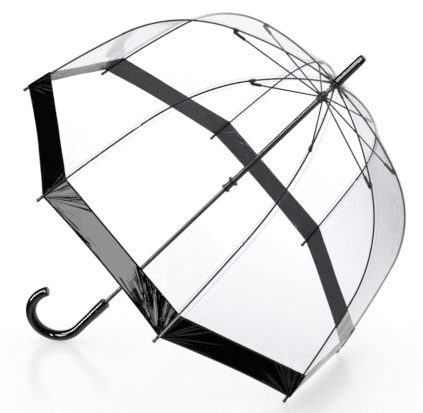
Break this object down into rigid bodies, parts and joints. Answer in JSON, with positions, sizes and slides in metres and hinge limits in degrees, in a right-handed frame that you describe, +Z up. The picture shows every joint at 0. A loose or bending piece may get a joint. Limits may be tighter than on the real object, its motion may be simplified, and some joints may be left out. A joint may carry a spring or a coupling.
{
  "type": "clear bubble umbrella",
  "caption": "Clear dome umbrella with a black hem band, crook handle, long runner and bowed ribs, open and resting on two rib tips and its crook.",
  "frame": {"origin": "on the floor, under the middle of the umbrella's bounding box, in the pose in which it lies open", "axes": "+Z up, +X horizontal from the handle towards the ferrule, the shaft lies in the XZ plane and rises at 44.6 degrees towards +X"},
  "size_m": [0.7826, 0.7882, 0.7049],
  "materials": {
    "rib_rod": "pultruded fibreglass rod, black, satin gloss",
    "stretcher_steel": "black enamelled steel",
    "rib_tip": "black moulded cap",
    "black_steel": "glossy black enamelled steel tube",
    "black_gloss": "polished black moulding",
    "black_nylon": "black nylon moulding",
    "bright_wire": "bare spring steel",
    "clear_film": "clear soft film, faint lavender tint, welded seams",
    "black_film": "glossy black soft film"
  },
  "bodies": {
    "root": {"shaft": "black_steel", "ferrule": "black_gloss", "crown_notch": "black_nylon", "crown_wire_ring": "bright_wire", "canopy_washer": "black_gloss", "handle": "black_gloss", "handle_collar": "black_gloss", "canopy_film": "clear_film", "hem_band": "black_film", "tie_strap": "black_film", "strap_stud": "bright_wire"},
    "upper_catch_leaf": {"upper_catch": "bright_wire"},
    "lower_catch_leaf": {"lower_catch": "bright_wire"},
    "runner": {"runner_hub": "black_nylon", "hub_wire_ring": "bright_wire", "runner_tube": "black_steel", "runner_grip": "black_gloss"},
    "upper_rib_1": {"rib_1_upper": "rib_rod"},
    "middle_rib_1": {"rib_1_middle": "rib_rod"},
    "lower_rib_1": {"rib_1_lower": "rib_rod", "rib_1_tip": "rib_tip"},
    "strut_1": {"stretcher_1": "stretcher_steel"},
    "upper_rib_2": {"rib_2_upper": "rib_rod"},
    "middle_rib_2": {"rib_2_middle": "rib_rod"},
    "lower_rib_2": {"rib_2_lower": "rib_rod", "rib_2_tip": "rib_tip"},
    "strut_2": {"stretcher_2": "stretcher_steel"},
    "upper_rib_3": {"rib_3_upper": "rib_rod"},
    "middle_rib_3": {"rib_3_middle": "rib_rod"},
    "lower_rib_3": {"rib_3_lower": "rib_rod", "rib_3_tip": "rib_tip"},
    "strut_3": {"stretcher_3": "stretcher_steel"},
    "upper_rib_4": {"rib_4_upper": "rib_rod"},
    "middle_rib_4": {"rib_4_middle": "rib_rod"},
    "lower_rib_4": {"rib_4_lower": "rib_rod", "rib_4_tip": "rib_tip"},
    "strut_4": {"stretcher_4": "stretcher_steel"},
    "upper_rib_5": {"rib_5_upper": "rib_rod"},
    "middle_rib_5": {"rib_5_middle": "rib_rod"},
    "lower_rib_5": {"rib_5_lower": "rib_rod", "rib_5_tip": "rib_tip"},
    "strut_5": {"stretcher_5": "stretcher_steel"},
    "upper_rib_6": {"rib_6_upper": "rib_rod"},
    "middle_rib_6": {"rib_6_middle": "rib_rod"},
    "lower_rib_6": {"rib_6_lower": "rib_rod", "rib_6_tip": "rib_tip"},
    "strut_6": {"stretcher_6": "stretcher_steel"},
    "upper_rib_7": {"rib_7_upper": "rib_rod"},
    "middle_rib_7": {"rib_7_middle": "rib_rod"},
    "lower_rib_7": {"rib_7_lower": "rib_rod", "rib_7_tip": "rib_tip"},
    "strut_7": {"stretcher_7": "stretcher_steel"},
    "upper_rib_8": {"rib_8_upper": "rib_rod"},
    "middle_rib_8": {"rib_8_middle": "rib_rod"},
    "lower_rib_8": {"rib_8_lower": "rib_rod", "rib_8_tip": "rib_tip"},
    "strut_8": {"stretcher_8": "stretcher_steel"}
  },
  "joints": [
    {"name": "runner_slide", "type": "slide", "parent": "root", "child": "runner", "axis": [-0.7123, 0, -0.7019], "range_m": [0, 0.3713], "deforming": ["canopy_film", "hem_band", "tie_strap", "strap_stud"]},
    {"name": "upper_catch_press", "type": "slide", "parent": "root", "child": "upper_catch_leaf", "axis": [0.7019, 0, -0.7123], "range_m": [0, 0.0012], "stiffness_N_per_m": 1500, "springref_m": -0.0006},
    {"name": "lower_catch_press", "type": "slide", "parent": "root", "child": "lower_catch_leaf", "axis": [0.7019, 0, -0.7123], "range_m": [0, 0.0012], "stiffness_N_per_m": 1500, "springref_m": -0.0006},
    {"name": "rib_1_crown_hinge", "type": "hinge", "parent": "root", "child": "upper_rib_1", "pos_m": [0.26807, -0.00325, 0.58891], "axis": [0.2686, -0.9239, -0.2726], "range_deg": [0, 73.5]},
    {"name": "rib_1_shoulder_hinge", "type": "hinge", "parent": "upper_rib_1", "child": "middle_rib_1", "pos_m": [0.09554, -0.08254, 0.68765], "axis": [0.2686, -0.9239, -0.2726], "range_deg": [-30.67, 0]},
    {"name": "rib_1_waist_hinge", "type": "hinge", "parent": "middle_rib_1", "child": "lower_rib_1", "pos_m": [-0.10591, -0.13687, 0.67327], "axis": [0.2686, -0.9239, -0.2726], "range_deg": [-26.1, 0]},
    {"name": "stretcher_1_hub_hinge", "type": "hinge", "parent": "runner", "child": "strut_1", "pos_m": [0.24314, -0.00325, 0.56435], "axis": [0.2686, -0.9239, -0.2726], "range_deg": [-94.7, 0]},
    {"name": "rib_2_crown_hinge", "type": "hinge", "parent": "root", "child": "upper_rib_2", "pos_m": [0.2713, -0.00785, 0.58564], "axis": [0.6485, -0.3827, -0.6581], "range_deg": [0, 73.5]},
    {"name": "rib_2_shoulder_hinge", "type": "hinge", "parent": "upper_rib_2", "child": "middle_rib_2", "pos_m": [0.17748, -0.19928, 0.6045], "axis": [0.6485, -0.3827, -0.6581], "range_deg": [-30.67, 0]},
    {"name": "rib_2_waist_hinge", "type": "hinge", "parent": "middle_rib_2", "child": "lower_rib_2", "pos_m": [0.02995, -0.33044, 0.5354], "axis": [0.6485, -0.3827, -0.6581], "range_deg": [-26.1, 0]},
    {"name": "stretcher_2_hub_hinge", "type": "hinge", "parent": "runner", "child": "strut_2", "pos_m": [0.24637, -0.00785, 0.56107], "axis": [0.6485, -0.3827, -0.6581], "range_deg": [-94.7, 0]},
    {"name": "rib_3_crown_hinge", "type": "hinge", "parent": "root", "child": "upper_rib_3", "pos_m": [0.27587, -0.00785, 0.581], "axis": [0.6485, 0.3827, -0.6581], "range_deg": [0, 73.5]},
    {"name": "rib_3_shoulder_hinge", "type": "hinge", "parent": "upper_rib_3", "child": "middle_rib_3", "pos_m": [0.29336, -0.19928, 0.48691], "axis": [0.6485, 0.3827, -0.6581], "range_deg": [-30.67, 0]},
    {"name": "rib_3_waist_hinge", "type": "hinge", "parent": "middle_rib_3", "child": "lower_rib_3", "pos_m": [0.2221, -0.33044, 0.34042], "axis": [0.6485, 0.3827, -0.6581], "range_deg": [-26.1, 0]},
    {"name": "stretcher_3_hub_hinge", "type": "hinge", "parent": "runner", "child": "strut_3", "pos_m": [0.25094, -0.00785, 0.55644], "axis": [0.6485, 0.3827, -0.6581], "range_deg": [-94.7, 0]},
    {"name": "rib_4_crown_hinge", "type": "hinge", "parent": "root", "child": "upper_rib_4", "pos_m": [0.2791, -0.00325, 0.57773], "axis": [0.2686, 0.9239, -0.2726], "range_deg": [0, 73.5]},
    {"name": "rib_4_shoulder_hinge", "type": "hinge", "parent": "upper_rib_4", "child": "middle_rib_4", "pos_m": [0.37529, -0.08254, 0.40377], "axis": [0.2686, 0.9239, -0.2726], "range_deg": [-30.67, 0]},
    {"name": "rib_4_waist_hinge", "type": "hinge", "parent": "middle_rib_4", "child": "lower_rib_4", "pos_m": [0.35796, -0.13687, 0.20254], "axis": [0.2686, 0.9239, -0.2726], "range_deg": [-26.1, 0]},
    {"name": "stretcher_4_hub_hinge", "type": "hinge", "parent": "runner", "child": "strut_4", "pos_m": [0.25417, -0.00325, 0.55316], "axis": [0.2686, 0.9239, -0.2726], "range_deg": [-94.7, 0]},
    {"name": "rib_5_crown_hinge", "type": "hinge", "parent": "root", "child": "upper_rib_5", "pos_m": [0.2791, 0.00325, 0.57773], "axis": [-0.2686, 0.9239, 0.2726], "range_deg": [0, 73.5]},
    {"name": "rib_5_shoulder_hinge", "type": "hinge", "parent": "upper_rib_5", "child": "middle_rib_5", "pos_m": [0.37529, 0.08254, 0.40377], "axis": [-0.2686, 0.9239, 0.2726], "range_deg": [-30.67, 0]},
    {"name": "rib_5_waist_hinge", "type": "hinge", "parent": "middle_rib_5", "child": "lower_rib_5", "pos_m": [0.35796, 0.13687, 0.20254], "axis": [-0.2686, 0.9239, 0.2726], "range_deg": [-26.1, 0]},
    {"name": "stretcher_5_hub_hinge", "type": "hinge", "parent": "runner", "child": "strut_5", "pos_m": [0.25417, 0.00325, 0.55316], "axis": [-0.2686, 0.9239, 0.2726], "range_deg": [-94.7, 0]},
    {"name": "rib_6_crown_hinge", "type": "hinge", "parent": "root", "child": "upper_rib_6", "pos_m": [0.27587, 0.00785, 0.581], "axis": [-0.6485, 0.3827, 0.6581], "range_deg": [0, 73.5]},
    {"name": "rib_6_shoulder_hinge", "type": "hinge", "parent": "upper_rib_6", "child": "middle_rib_6", "pos_m": [0.29336, 0.19928, 0.48691], "axis": [-0.6485, 0.3827, 0.6581], "range_deg": [-30.67, 0]},
    {"name": "rib_6_waist_hinge", "type": "hinge", "parent": "middle_rib_6", "child": "lower_rib_6", "pos_m": [0.2221, 0.33044, 0.34042], "axis": [-0.6485, 0.3827, 0.6581], "range_deg": [-26.1, 0]},
    {"name": "stretcher_6_hub_hinge", "type": "hinge", "parent": "runner", "child": "strut_6", "pos_m": [0.25094, 0.00785, 0.55644], "axis": [-0.6485, 0.3827, 0.6581], "range_deg": [-94.7, 0]},
    {"name": "rib_7_crown_hinge", "type": "hinge", "parent": "root", "child": "upper_rib_7", "pos_m": [0.2713, 0.00785, 0.58564], "axis": [-0.6485, -0.3827, 0.6581], "range_deg": [0, 73.5]},
    {"name": "rib_7_shoulder_hinge", "type": "hinge", "parent": "upper_rib_7", "child": "middle_rib_7", "pos_m": [0.17748, 0.19928, 0.6045], "axis": [-0.6485, -0.3827, 0.6581], "range_deg": [-30.67, 0]},
    {"name": "rib_7_waist_hinge", "type": "hinge", "parent": "middle_rib_7", "child": "lower_rib_7", "pos_m": [0.02995, 0.33044, 0.5354], "axis": [-0.6485, -0.3827, 0.6581], "range_deg": [-26.1, 0]},
    {"name": "stretcher_7_hub_hinge", "type": "hinge", "parent": "runner", "child": "strut_7", "pos_m": [0.24637, 0.00785, 0.56107], "axis": [-0.6485, -0.3827, 0.6581], "range_deg": [-94.7, 0]},
    {"name": "rib_8_crown_hinge", "type": "hinge", "parent": "root", "child": "upper_rib_8", "pos_m": [0.26807, 0.00325, 0.58891], "axis": [-0.2686, -0.9239, 0.2726], "range_deg": [0, 73.5]},
    {"name": "rib_8_shoulder_hinge", "type": "hinge", "parent": "upper_rib_8", "child": "middle_rib_8", "pos_m": [0.09554, 0.08254, 0.68765], "axis": [-0.2686, -0.9239, 0.2726], "range_deg": [-30.67, 0]},
    {"name": "rib_8_waist_hinge", "type": "hinge", "parent": "middle_rib_8", "child": "lower_rib_8", "pos_m": [-0.10591, 0.13687, 0.67327], "axis": [-0.2686, -0.9239, 0.2726], "range_deg": [-26.1, 0]},
    {"name": "stretcher_8_hub_hinge", "type": "hinge", "parent": "runner", "child": "strut_8", "pos_m": [0.24314, 0.00325, 0.56435], "axis": [-0.2686, -0.9239, 0.2726], "range_deg": [-94.7, 0]}
  ],
  "couplings": [
    {"joint": "rib_1_crown_hinge", "follows": "runner_slide", "rad_per_m": 3.4482},
    {"joint": "rib_1_shoulder_hinge", "follows": "runner_slide", "rad_per_m": -1.4387},
    {"joint": "rib_1_waist_hinge", "follows": "runner_slide", "rad_per_m": -1.2245},
    {"joint": "stretcher_1_hub_hinge", "follows": "runner_slide", "rad_per_m": -4.4425},
    {"joint": "rib_2_crown_hinge", "follows": "runner_slide", "rad_per_m": 3.4482},
    {"joint": "rib_2_shoulder_hinge", "follows": "runner_slide", "rad_per_m": -1.4387},
    {"joint": "rib_2_waist_hinge", "follows": "runner_slide", "rad_per_m": -1.2245},
    {"joint": "stretcher_2_hub_hinge", "follows": "runner_slide", "rad_per_m": -4.4425},
    {"joint": "rib_3_crown_hinge", "follows": "runner_slide", "rad_per_m": 3.4482},
    {"joint": "rib_3_shoulder_hinge", "follows": "runner_slide", "rad_per_m": -1.4387},
    {"joint": "rib_3_waist_hinge", "follows": "runner_slide", "rad_per_m": -1.2245},
    {"joint": "stretcher_3_hub_hinge", "follows": "runner_slide", "rad_per_m": -4.4425},
    {"joint": "rib_4_crown_hinge", "follows": "runner_slide", "rad_per_m": 3.4482},
    {"joint": "rib_4_shoulder_hinge", "follows": "runner_slide", "rad_per_m": -1.4387},
    {"joint": "rib_4_waist_hinge", "follows": "runner_slide", "rad_per_m": -1.2245},
    {"joint": "stretcher_4_hub_hinge", "follows": "runner_slide", "rad_per_m": -4.4425},
    {"joint": "rib_5_crown_hinge", "follows": "runner_slide", "rad_per_m": 3.4482},
    {"joint": "rib_5_shoulder_hinge", "follows": "runner_slide", "rad_per_m": -1.4387},
    {"joint": "rib_5_waist_hinge", "follows": "runner_slide", "rad_per_m": -1.2245},
    {"joint": "stretcher_5_hub_hinge", "follows": "runner_slide", "rad_per_m": -4.4425},
    {"joint": "rib_6_crown_hinge", "follows": "runner_slide", "rad_per_m": 3.4482},
    {"joint": "rib_6_shoulder_hinge", "follows": "runner_slide", "rad_per_m": -1.4387},
    {"joint": "rib_6_waist_hinge", "follows": "runner_slide", "rad_per_m": -1.2245},
    {"joint": "stretcher_6_hub_hinge", "follows": "runner_slide", "rad_per_m": -4.4425},
    {"joint": "rib_7_crown_hinge", "follows": "runner_slide", "rad_per_m": 3.4482},
    {"joint": "rib_7_shoulder_hinge", "follows": "runner_slide", "rad_per_m": -1.4387},
    {"joint": "rib_7_waist_hinge", "follows": "runner_slide", "rad_per_m": -1.2245},
    {"joint": "stretcher_7_hub_hinge", "follows": "runner_slide", "rad_per_m": -4.4425},
    {"joint": "rib_8_crown_hinge", "follows": "runner_slide", "rad_per_m": 3.4482},
    {"joint": "rib_8_shoulder_hinge", "follows": "runner_slide", "rad_per_m": -1.4387},
    {"joint": "rib_8_waist_hinge", "follows": "runner_slide", "rad_per_m": -1.2245},
    {"joint": "stretcher_8_hub_hinge", "follows": "runner_slide", "rad_per_m": -4.4425}
  ]
}
